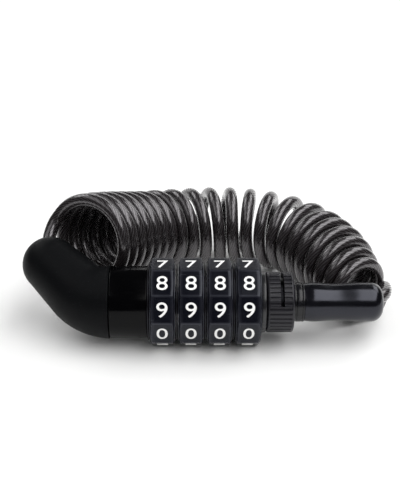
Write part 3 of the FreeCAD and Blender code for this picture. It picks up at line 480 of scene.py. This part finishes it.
matt_plastic, tree, shader = finish_of("matt_plastic", Specular_IOR_Level=0.08)
wear(tree, shader, "090a0c", "2a2c30", 0.42, 0.56, 0.35)
coordinate = add(tree, "ShaderNodeTexCoord")
grain = add(tree, "ShaderNodeTexNoise", Scale=5200.0, Detail=2.0)
pits = add(tree, "ShaderNodeBump", Strength=0.35, Distance=0.00005)
tree.links.new(coordinate.outputs["Object"], grain.inputs["Vector"])
tree.links.new(grain.outputs["Fac"], pits.inputs["Height"])
tree.links.new(pits.outputs["Normal"], shader.inputs["Normal"])
elbow = surface("elbow", elbow_rings, crease=50)
elbow.data.materials.append(matt_plastic)
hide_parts("elbow_cap")
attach(elbow, "root")


# Collar: a gloss black cup that covers the core's disc and the elbow's spigot.
# It is injection moulded and polished, with small rounds at both rims.
def soften(corners, size, steps=4):
    """A closed outline with each corner cut off by a parabola that starts and ends size away from it."""
    before = np.roll(corners, 1, 0)
    after = np.roll(corners, -1, 0)
    reach = np.minimum(size, 0.45 * np.linalg.norm(corners - before, axis=1))[:, None]
    leave = np.minimum(size, 0.45 * np.linalg.norm(after - corners, axis=1))[:, None]
    start = corners + unit(before - corners) * reach
    end = corners + unit(after - corners) * leave
    t = np.linspace(0, 1, steps)[None, :, None]
    bow = start[:, None] * (1 - t) ** 2 + 2 * corners[:, None] * t * (1 - t) + end[:, None] * t ** 2
    return bow.reshape(-1, 2)


def turned(outline, around):
    """Rings of an outline of (place, radius) turned about the lock's axis."""
    turn = np.linspace(0, 2 * math.pi, around, endpoint=False)
    place, radius = outline[:, :1], outline[:, 1:]
    return np.stack([
        np.broadcast_to(place, (len(outline), around)),
        radius * np.cos(turn),
        AXIS_HEIGHT + radius * np.sin(turn)], -1)


COLLAR_LEFT, COLLAR_RIGHT, COLLAR_RADIUS = -0.027905, -0.015005, 0.0125
COLLAR_INSIDE, COLLAR_LIP, COLLAR_ROUND = 0.0113, 0.0015, 0.00035
# Radius of the hole for the core, here and in the washers and the flange
CORE_HOLE = 0.0046
collar_outline = soften(np.array([
    (COLLAR_LEFT, COLLAR_INSIDE), (COLLAR_LEFT, COLLAR_RADIUS), (COLLAR_RIGHT, COLLAR_RADIUS),
    (COLLAR_RIGHT, CORE_HOLE), (COLLAR_RIGHT - COLLAR_LIP, CORE_HOLE),
    (COLLAR_RIGHT - COLLAR_LIP, COLLAR_INSIDE)]), COLLAR_ROUND, 5)
gloss_plastic, tree, shader = finish_of("gloss_plastic", Specular_IOR_Level=0.12)
wear(tree, shader, "030304", "1c1c20", 0.10, 0.22, 0.2)
collar = surface("collar", turned(collar_outline, 128), closed=True)
collar.data.materials.append(gloss_plastic)
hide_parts("body_collar")
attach(collar, "root")


# Washers: thin rings of blackened steel, one before the first dial and one after each of the first
# three. They are punched from strip and stand round the core.
WASHER_THICK, WASHER_RADIUS, WASHER_ROUND = 0.0005, 0.0132, 0.0001
DIAL_PITCH = 0.00977
black_steel, tree, shader = finish_of("black_steel", Metallic=0.85)
wear(tree, shader, "26262a", "515156", 0.30, 0.46)
for i, node in enumerate(("first_washer", "spacer_ring_1", "spacer_ring_2", "spacer_ring_3")):
    middle = (i - 1.5) * DIAL_PITCH
    half = WASHER_THICK / 2
    outline = soften(np.array([
        (middle - half, CORE_HOLE), (middle - half, WASHER_RADIUS),
        (middle + half, WASHER_RADIUS), (middle + half, CORE_HOLE)]), WASHER_ROUND, 3)
    washer = surface(f"washer_{i + 1}", turned(outline, 96), closed=True)
    washer.data.materials.append(black_steel)
    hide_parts(node)
    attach(washer, "root")


# Dials: ten-sided black barrels with round shoulders, moulded in satin plastic, each with ten digits.
# Each turns on the core over its code sleeve, and its ribs and the sleeve's rib hold the two together.
DIAL_RADIUS = 0.0155
DIAL_FLAT = DIAL_RADIUS * math.cos(math.pi / 10)
DIAL_HALF_FACE, DIAL_HALF_BARREL, DIAL_HALF_WIDTH = 0.00355, 0.0040, 0.004375
SHOULDER = 0.0140
DIAL_BORE = 0.00675
CORNER_ROUND = 0.0005
FACET_POINTS = 12
# Rounds of the rim, of the shoulder's foot and of the sides' edges, and two loops behind those edges
RIM_ROUND, RIM_BOW, FOOT_ROUND, SIDE_ROUND = 0.0002, 0.00006, 0.00005, 0.00012
FIRST_LOOP, SECOND_LOOP = 0.0012, 0.0024
# How far from a corner the sides get the painted edge highlight
EDGE_HIGHLIGHT_ANGLE = math.radians(2.2)


def dial_outline():
    """Angles and radii round a ten-sided barrel, and each angle's distance from a corner.

    A flat's radius is its distance from the axis / cos(angle from its middle), and corners are rounded.
    """
    half = math.pi / 10
    spread = np.sin(np.linspace(-math.pi / 2, math.pi / 2, FACET_POINTS + 1))[:-1] * half
    angles = (np.arange(10)[:, None] * 2 * half + spread - math.pi / 2).ravel()
    from_flat = (angles + math.pi / 2 + half) % (2 * half) - half
    radii = DIAL_FLAT / np.cos(from_flat)
    # The round is a circle of CORNER_ROUND, whose middle lies on the corner's ray
    middle = (DIAL_FLAT - CORNER_ROUND) / math.cos(half)
    from_corner = half - np.abs(from_flat)
    chord = middle * np.sin(from_corner)
    circle = middle * np.cos(from_corner) + np.sqrt(np.clip(CORNER_ROUND ** 2 - chord ** 2, 0, None))
    in_round = np.abs(chord) < CORNER_ROUND * math.sin(half)
    return angles, np.where(in_round, circle, radii), from_corner


def dial_rings(middle):
    """Stations from bore to bore over a dial: rims, a slope that cuts the ten sides, and the sides, with each
    point's share of a painted edge highlight.
    """
    angles, side_radius, from_corner = dial_outline()
    slope_end = DIAL_HALF_FACE + (DIAL_RADIUS - side_radius) * (
        (DIAL_HALF_BARREL - DIAL_HALF_FACE) / (DIAL_RADIUS - SHOULDER))
    ones = np.ones_like(angles)
    # The third value of each step is its share of the painted edge highlight on the rims and the sides' edges
    steps = [
        (DIAL_HALF_WIDTH * ones, DIAL_BORE * ones, 0.0),
        (DIAL_HALF_WIDTH * ones, (SHOULDER - RIM_ROUND) * ones, 0.4),
        ((DIAL_HALF_WIDTH - RIM_BOW) * ones, (SHOULDER - RIM_BOW) * ones, 1.0),
        ((DIAL_HALF_WIDTH - RIM_ROUND) * ones, SHOULDER * ones, 0.4),
        ((DIAL_HALF_BARREL + FOOT_ROUND) * ones, SHOULDER * ones, 0.0),
        (DIAL_HALF_BARREL * ones, (SHOULDER + FOOT_ROUND) * ones, 0.0),
        (slope_end + SIDE_ROUND * 0.3, side_radius - SIDE_ROUND, 0.5),
        (slope_end - SIDE_ROUND * 0.15, side_radius - SIDE_ROUND * 0.3, 1.0),
        (slope_end - SIDE_ROUND, side_radius, 0.5),
        (slope_end - FIRST_LOOP, side_radius, 0.0),
        (slope_end - SECOND_LOOP, side_radius, 0.0),
    ]
    steps += [(-across, radius, mark) for across, radius, mark in reversed(steps)]
    steps += [(np.linspace(-1, 1, 5)[i] * DIAL_HALF_WIDTH * ones, DIAL_BORE * ones, 0.0) for i in (1, 2, 3)]
    rings = [np.stack([
        middle + across, radius * np.cos(angles), AXIS_HEIGHT + radius * np.sin(angles)], -1)
        for across, radius, _ in steps]
    marks = np.array([mark for _, _, mark in steps])[:, None] * ones
    # Steps 7 to 14 lie on the ten sides
    on_sides = np.zeros(len(steps))
    on_sides[7:15] = 1.0
    # Near each corner the sides get the painted edge highlight too
    corners = np.clip(1 - from_corner / EDGE_HIGHLIGHT_ANGLE, 0, 1) * on_sides[:, None]
    return np.stack(rings), np.maximum(marks, corners)


satin_plastic, tree, shader = finish_of(
    "satin_plastic", Specular_IOR_Level=0.29, Specular_Tint=(0.86, 0.90, 1.0, 1.0))
marks, tint = wear(tree, shader, "0a0b13", "2c2d35", 0.16, 0.28, 0.3)
# Painted highlight: the rims and the sides' corner edges get a lighter colour, 3a3b42, where their edge mark
# meets the rub noise
edge_highlights = add(tree, "ShaderNodeAttribute", attribute_name="edge_highlight")
highlight_share = add(tree, "ShaderNodeMath", operation="MULTIPLY")
highlighted = add(tree, "ShaderNodeMix", data_type="RGBA", _7=tone("3a3b42"))
tree.links.new(edge_highlights.outputs["Fac"], highlight_share.inputs[0])
tree.links.new(marks.outputs["Rub"], highlight_share.inputs[1])
tree.links.new(highlight_share.outputs["Value"], highlighted.inputs[0])
tree.links.new(tint.outputs[2], highlighted.inputs[6])
tree.links.new(highlighted.outputs[2], shader.inputs["Base Color"])
coordinate = add(tree, "ShaderNodeTexCoord")
skin = add(tree, "ShaderNodeTexNoise", Scale=700.0, Detail=2.0)
ripple = add(tree, "ShaderNodeBump", Strength=0.12, Distance=0.00006)
tree.links.new(coordinate.outputs["Object"], skin.inputs["Vector"])
tree.links.new(skin.outputs["Fac"], ripple.inputs["Height"])
tree.links.new(ripple.outputs["Normal"], shader.inputs["Normal"])

white_paint, tree, shader = finish_of("white_paint", Specular_IOR_Level=0.4)
wear(tree, shader, "f4f4f2", "b9b9b6", 0.35, 0.55, 0.8)

DIGIT_WIDE, DIGIT_HIGH, DIGIT_PROUD = 0.00376, 0.0052, 0.00004
# Growth of the strokes and depth, in heights of the typeface
DIGIT_BOLDER, DIGIT_DEPTH = 0.001, 0.01
digit_shapes = {}
for digit in range(10):
    text = bpy.data.curves.new(f"digit_{digit}", "FONT")
    text.body = str(digit)
    text.offset = DIGIT_BOLDER
    text.extrude = DIGIT_DEPTH
    text.resolution_u = 6
    text_object = bpy.data.objects.new(f"digit_{digit}", text)
    scene.collection.objects.link(text_object)
    bpy.context.view_layer.update()
    shape = bpy.data.meshes.new_from_object(text_object)
    bpy.data.objects.remove(text_object)
    points = np.array([vertex.co for vertex in shape.vertices])
    low, high = points.min(0), points.max(0)
    points = (points - (low + high) / 2) / (high - low) * (DIGIT_WIDE, DIGIT_HIGH, DIGIT_PROUD * 2)
    digit_shapes[digit] = (points, [list(face.vertices) for face in shape.polygons])

for number in range(1, 5):
    middle = (number - 2) * DIAL_PITCH
    rings, marks = dial_rings(middle)
    dial = surface(f"dial_body_{number}", rings, closed=True, edge_highlight=marks, crease=25)
    dial.data.materials.append(satin_plastic)
    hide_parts(f"dial_{number}")
    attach(dial, f"dial_body_{number}")
    points, faces = [], []
    for side in range(10):
        turn = math.radians(270 - 36 * side)
        outward = np.array([0.0, math.cos(turn), math.sin(turn)])
        upward = np.array([0.0, math.sin(turn), -math.cos(turn)])
        shape, shape_faces = digit_shapes[(2 - side) % 10]
        start = sum(len(part) for part in points)
        centre = np.array([middle, 0.0, AXIS_HEIGHT]) + outward * DIAL_FLAT
        flat_on = shape[:, :1] * (1.0, 0.0, 0.0) + shape[:, 1:2] * upward
        points.append(centre + flat_on + shape[:, 2:] * outward)
        faces += [[start + i for i in face] for face in shape_faces]
    mesh = bpy.data.meshes.new(f"digits_{number}")
    mesh.from_pydata(np.vstack(points).tolist(), [], faces)
    digits = bpy.data.objects.new(f"digits_{number}", mesh)
    scene.collection.objects.link(digits)
    digits.data.materials.append(white_paint)
    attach(digits, f"dial_body_{number}")


# End flange: a turned metal disc, painted satin black.
# It stands on the core after the fourth dial and holds the dials and washers together.
FLANGE_LEFT, FLANGE_RIGHT, FLANGE_RADIUS, FLANGE_ROUND = 0.024165, 0.025665, 0.0106, 0.00025
satin_paint, tree, shader = finish_of("satin_paint", Coat_Weight=0.3, Coat_Roughness=0.12)
wear(tree, shader, "131418", "3c3c42", 0.26, 0.40)
flange = surface("flange", turned(soften(np.array([
    (FLANGE_LEFT, CORE_HOLE), (FLANGE_LEFT, FLANGE_RADIUS),
    (FLANGE_RIGHT, FLANGE_RADIUS), (FLANGE_RIGHT, CORE_HOLE)]), FLANGE_ROUND, 5), 128), closed=True)
flange.data.materials.append(satin_paint)
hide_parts("end_flange")
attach(flange, "root")


# Reset ring: a knurled ring cast in zinc and painted black, which turns on the hub to set a new code.
# A slot runs a third of the way round it, and the hub's guide pin stands in that slot.
RING_LEFT, RING_RIGHT, RING_RADIUS, RING_INNER = 0.025965, 0.035265, 0.0105, 0.0086
RING_BORDER, KNURL_DEPTH, KNURLS = 0.0009, 0.00045, 36
# Chamfer at each rim, soft at both ends: how far in from the rim and how far under the outside
RING_CHAMFER = ((0.0, 0.0005), (0.00008, 0.00035), (0.00042, 0.00004), (0.00052, 0.0))
KNURL_BEFORE, KNURL_AFTER = 0.0001, 0.00012
SLOT_MIDDLE, SLOT_WIDTH = 0.031165, 0.0013
SLOT_START, SLOT_SWEEP = 50.0, 111.0
ring_angles = np.arange(KNURLS * 10) / (KNURLS * 10) * 2 * math.pi
# Depth of a groove across its pitch: a clipped tent with a smooth step on both slopes
groove = np.clip(1.6 - 3.4 * np.abs((ring_angles * KNURLS / (2 * math.pi)) % 1 - 0.5) * 2, 0, 1)
groove = groove ** 2 * (3 - 2 * groove) * KNURL_DEPTH
ring_steps = [(RING_LEFT, RING_INNER, 0)]
ring_steps += [(RING_LEFT + inward, RING_RADIUS - under, 0) for inward, under in RING_CHAMFER]
ring_steps += [
    (RING_LEFT + RING_BORDER - KNURL_BEFORE, RING_RADIUS, 0),
    (RING_LEFT + RING_BORDER + KNURL_AFTER, RING_RADIUS, 1)]
ring_steps += [(RING_LEFT + RING_RIGHT - place, radius, mark) for place, radius, mark in reversed(ring_steps)]
ring_rings = np.stack([np.stack([
    np.full_like(ring_angles, place),
    (radius - mark * groove) * np.cos(ring_angles),
    AXIS_HEIGHT + (radius - mark * groove) * np.sin(ring_angles)], -1) for place, radius, mark in ring_steps])
ring = surface("ring", ring_rings, closed=True, crease=28)

# The slot is milled out of the ring by a cutter of its section, swept round the axis
cutter_turn = np.radians(np.linspace(SLOT_START, SLOT_START + SLOT_SWEEP, 60))
CUTTER_INSIDE, CUTTER_OUTSIDE = 0.007, 0.012
cutter_section = np.array([
    (-1, CUTTER_INSIDE), (1, CUTTER_INSIDE), (1, CUTTER_OUTSIDE), (-1, CUTTER_OUTSIDE)])
cutter = surface("slot_cutter", np.stack([
    SLOT_MIDDLE + cutter_section[:, 0] * SLOT_WIDTH / 2 + 0 * cutter_turn[:, None],
    cutter_section[:, 1] * np.cos(cutter_turn)[:, None],
    AXIS_HEIGHT + cutter_section[:, 1] * np.sin(cutter_turn)[:, None]], -1))
milled = ring.modifiers.new("slot", "BOOLEAN")
milled.operation = "DIFFERENCE"
milled.solver = "EXACT"
milled.object = cutter
bpy.context.view_layer.update()
cut_ring = bpy.data.meshes.new_from_object(ring.evaluated_get(bpy.context.evaluated_depsgraph_get()))
ring.modifiers.clear()
ring.data = cut_ring
ring.data.shade_smooth()
ring.data.set_sharp_from_angle(angle=math.radians(28))
bpy.data.objects.remove(cutter)

ring_paint, tree, shader = finish_of("ring_paint", Metallic=0.25)
wear(tree, shader, "1d1c22", "424149", 0.28, 0.44)
ring.data.materials.clear()
ring.data.materials.append(ring_paint)
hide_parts("reset_ring")
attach(ring, "reset_body")


# Plug neck: a turned metal bush, painted gloss black, with two fine grooves round it.
# It is fixed on the bolt, and its nose enters the hub when the lock is shut.
NECK_LEFT, NECK_RIGHT, NECK_RADIUS = 0.035565, 0.039065, 0.00685
NECK_BORE, NOSE_RADIUS, NOSE_LEFT, NOSE_BEVEL = 0.00232, 0.0058, 0.031165, 0.0005
GROOVE_PLACES, GROOVE_HALF, GROOVE_DEPTH = (0.0007, 0.00273), 0.00015, 0.0003
neck_corners = [
    (NOSE_LEFT, NECK_BORE), (NOSE_LEFT, NOSE_RADIUS - NOSE_BEVEL), (NOSE_LEFT + NOSE_BEVEL, NOSE_RADIUS),
    (NECK_LEFT, NOSE_RADIUS), (NECK_LEFT, NECK_RADIUS)]
for groove_place in GROOVE_PLACES:
    middle = NECK_LEFT + groove_place
    neck_corners += [
        (middle - GROOVE_HALF, NECK_RADIUS), (middle - GROOVE_HALF, NECK_RADIUS - GROOVE_DEPTH),
        (middle + GROOVE_HALF, NECK_RADIUS - GROOVE_DEPTH), (middle + GROOVE_HALF, NECK_RADIUS)]
neck_corners += [(NECK_RIGHT, NECK_RADIUS), (NECK_RIGHT, NECK_BORE)]
neck = surface("neck", turned(soften(np.array(neck_corners), 0.00008, 3), 112), closed=True)
neck_paint, tree, shader = finish_of("neck_paint", Specular_IOR_Level=0.4)
wear(tree, shader, "101014", "34343a", 0.18, 0.30)
neck.data.materials.append(neck_paint)
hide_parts("plug_neck")
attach(neck, "plug_body")


# Plug sleeve: a slightly waisted gloss black moulding over the bolt's tail, closed by a round end.
# The cable goes into the back of its end at a slant.
SLEEVE_END, SLEEVE_LENGTH = 0.066765, 0.0277
SLEEVE_ROUND = 0.0042
SLEEVE_BORE, SLEEVE_RIM = 0.0046, ((0.0, 0.00625), (0.00009, 0.00646))
SLEEVE_FIRST_STOP, SLEEVE_STOPS, END_STOPS = 0.0003, 70, 24
sleeve_places = np.array([0.0, 0.0033, 0.0116, 0.0200, 0.0236, SLEEVE_LENGTH])
sleeve_radii = np.array([0.00655, 0.00685, 0.00645, 0.00685, 0.00685, 0.00655])


def sleeve_radius(distance):
    """Radius along the sleeve: a smooth step between each two of its stations."""
    i = np.clip(np.searchsorted(sleeve_places, distance, side="right") - 1, 0, len(sleeve_places) - 2)
    share = (distance - sleeve_places[i]) / (sleeve_places[i + 1] - sleeve_places[i])
    share = share * share * (3 - 2 * share)
    return sleeve_radii[i] * (1 - share) + sleeve_radii[i + 1] * share


body_run = np.linspace(SLEEVE_FIRST_STOP, SLEEVE_LENGTH - SLEEVE_ROUND, SLEEVE_STOPS)
round_turn = np.linspace(0, math.pi / 2, END_STOPS)[1:]
end_places = SLEEVE_END - SLEEVE_ROUND * (1 - np.sin(round_turn))
end_start = sleeve_radius(body_run[-1:])[0]
flat_end = end_start - SLEEVE_ROUND
sleeve_outline = np.vstack([
    [(NECK_RIGHT, SLEEVE_BORE)] + [(NECK_RIGHT + place, radius) for place, radius in SLEEVE_RIM],
    np.column_stack([NECK_RIGHT + body_run, sleeve_radius(body_run)]),
    np.column_stack([end_places, flat_end + SLEEVE_ROUND * np.cos(round_turn)])])
sleeve = surface("sleeve", turned(sleeve_outline, 128))
high_gloss, tree, shader = finish_of(
    "high_gloss", Specular_IOR_Level=0.52, Specular_Tint=(0.84, 0.86, 1.0, 1.0))
wear(tree, shader, "08080c", "26262c", 0.17, 0.28, 0.25)
coordinate = add(tree, "ShaderNodeTexCoord")
flow = add(tree, "ShaderNodeTexNoise", Scale=260.0, Detail=1.0)
dimple = add(tree, "ShaderNodeBump", Strength=0.12, Distance=0.0001)
tree.links.new(coordinate.outputs["Object"], flow.inputs["Vector"])
tree.links.new(flow.outputs["Fac"], dimple.inputs["Height"])
tree.links.new(dimple.outputs["Normal"], shader.inputs["Normal"])
sleeve.data.materials.append(high_gloss)
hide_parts("plug_sleeve")
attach(sleeve, "plug_body")


# Table and light: a white paper sheet that lies under the lock and runs up behind it.
# Level soft boxes hang over it on both sides, in front and behind.
FLOOR_WIDE, FLOOR_FRONT, FLOOR_BACK, BACK_HIGH, SWEEP = 2.4, -1.2, 1.0, 0.72, 0.4
sweep_turn = np.linspace(0, math.pi / 2, 24)
profile = np.vstack([
    [(FLOOR_FRONT, 0.0)],
    np.column_stack([FLOOR_BACK + SWEEP * np.sin(sweep_turn), SWEEP * (1 - np.cos(sweep_turn))]),
    [(FLOOR_BACK + SWEEP, BACK_HIGH)]])
floor_points = [(x, y, z) for x in (-FLOOR_WIDE / 2, FLOOR_WIDE / 2) for y, z in profile]
count = len(profile)
floor_mesh = bpy.data.meshes.new("table")
floor_mesh.from_pydata(floor_points, [], [(i, i + count, i + count + 1, i + 1) for i in range(count - 1)])
floor_mesh.shade_smooth()
table = bpy.data.objects.new("table", floor_mesh)
scene.collection.objects.link(table)
paper, tree, shader = finish_of("paper", Base_Color=(0.93, 0.93, 0.925, 1.0), Roughness=0.6)
table.data.materials.append(paper)

# The room lights all sides softly and a camera sees it white, but gloss mirrors it dim and stays black
ROOM_FILL, ROOM_DIM = 0.44, 0.04
world = bpy.data.worlds.new("room")
world.use_nodes = True
room = world.node_tree.nodes["Background"]
room.inputs["Color"].default_value = (1.0, 1.0, 1.0, 1.0)
seen = add(world.node_tree, "ShaderNodeLightPath")
mirrored = add(world.node_tree, "ShaderNodeMapRange", To_Min=ROOM_FILL, To_Max=ROOM_DIM)
brightness = add(world.node_tree, "ShaderNodeMapRange", To_Max=1.0)
world.node_tree.links.new(seen.outputs["Is Glossy Ray"], mirrored.inputs["Value"])
world.node_tree.links.new(mirrored.outputs["Result"], brightness.inputs["To Min"])
world.node_tree.links.new(seen.outputs["Is Camera Ray"], brightness.inputs["Value"])
world.node_tree.links.new(brightness.outputs["Result"], room.inputs["Strength"])
scene.world = world


BOX_HEIGHT = 0.90


def add_ceiling(name, left, right, front, back, radiance):
    """A level soft box between two places across and two along, that faces straight down.

    Its energy is radiance x 4 x area.
    """
    lamp = bpy.data.lights.new(name, "AREA")
    lamp.shape = "RECTANGLE"
    lamp.size = right - left
    lamp.size_y = back - front
    lamp.energy = radiance * 4 * (right - left) * (back - front)
    made = bpy.data.objects.new(name, lamp)
    made.location = ((left + right) / 2, (front + back) / 2, BOX_HEIGHT)
    scene.collection.objects.link(made)


# No lamp hangs in the plane over the dials, and so their flat faces and the collar mirror the dim room
add_ceiling("right_box", left=0.13, right=0.90, front=-1.20, back=0.25, radiance=2.5)
add_ceiling("left_box", left=-0.90, right=-0.28, front=-0.80, back=0.30, radiance=0.9)
add_ceiling("back_right_box", left=0.40, right=1.20, front=0.30, back=1.20, radiance=2.2)
add_ceiling("back_left_box", left=-1.20, right=-0.45, front=0.40, back=1.20, radiance=2.0)
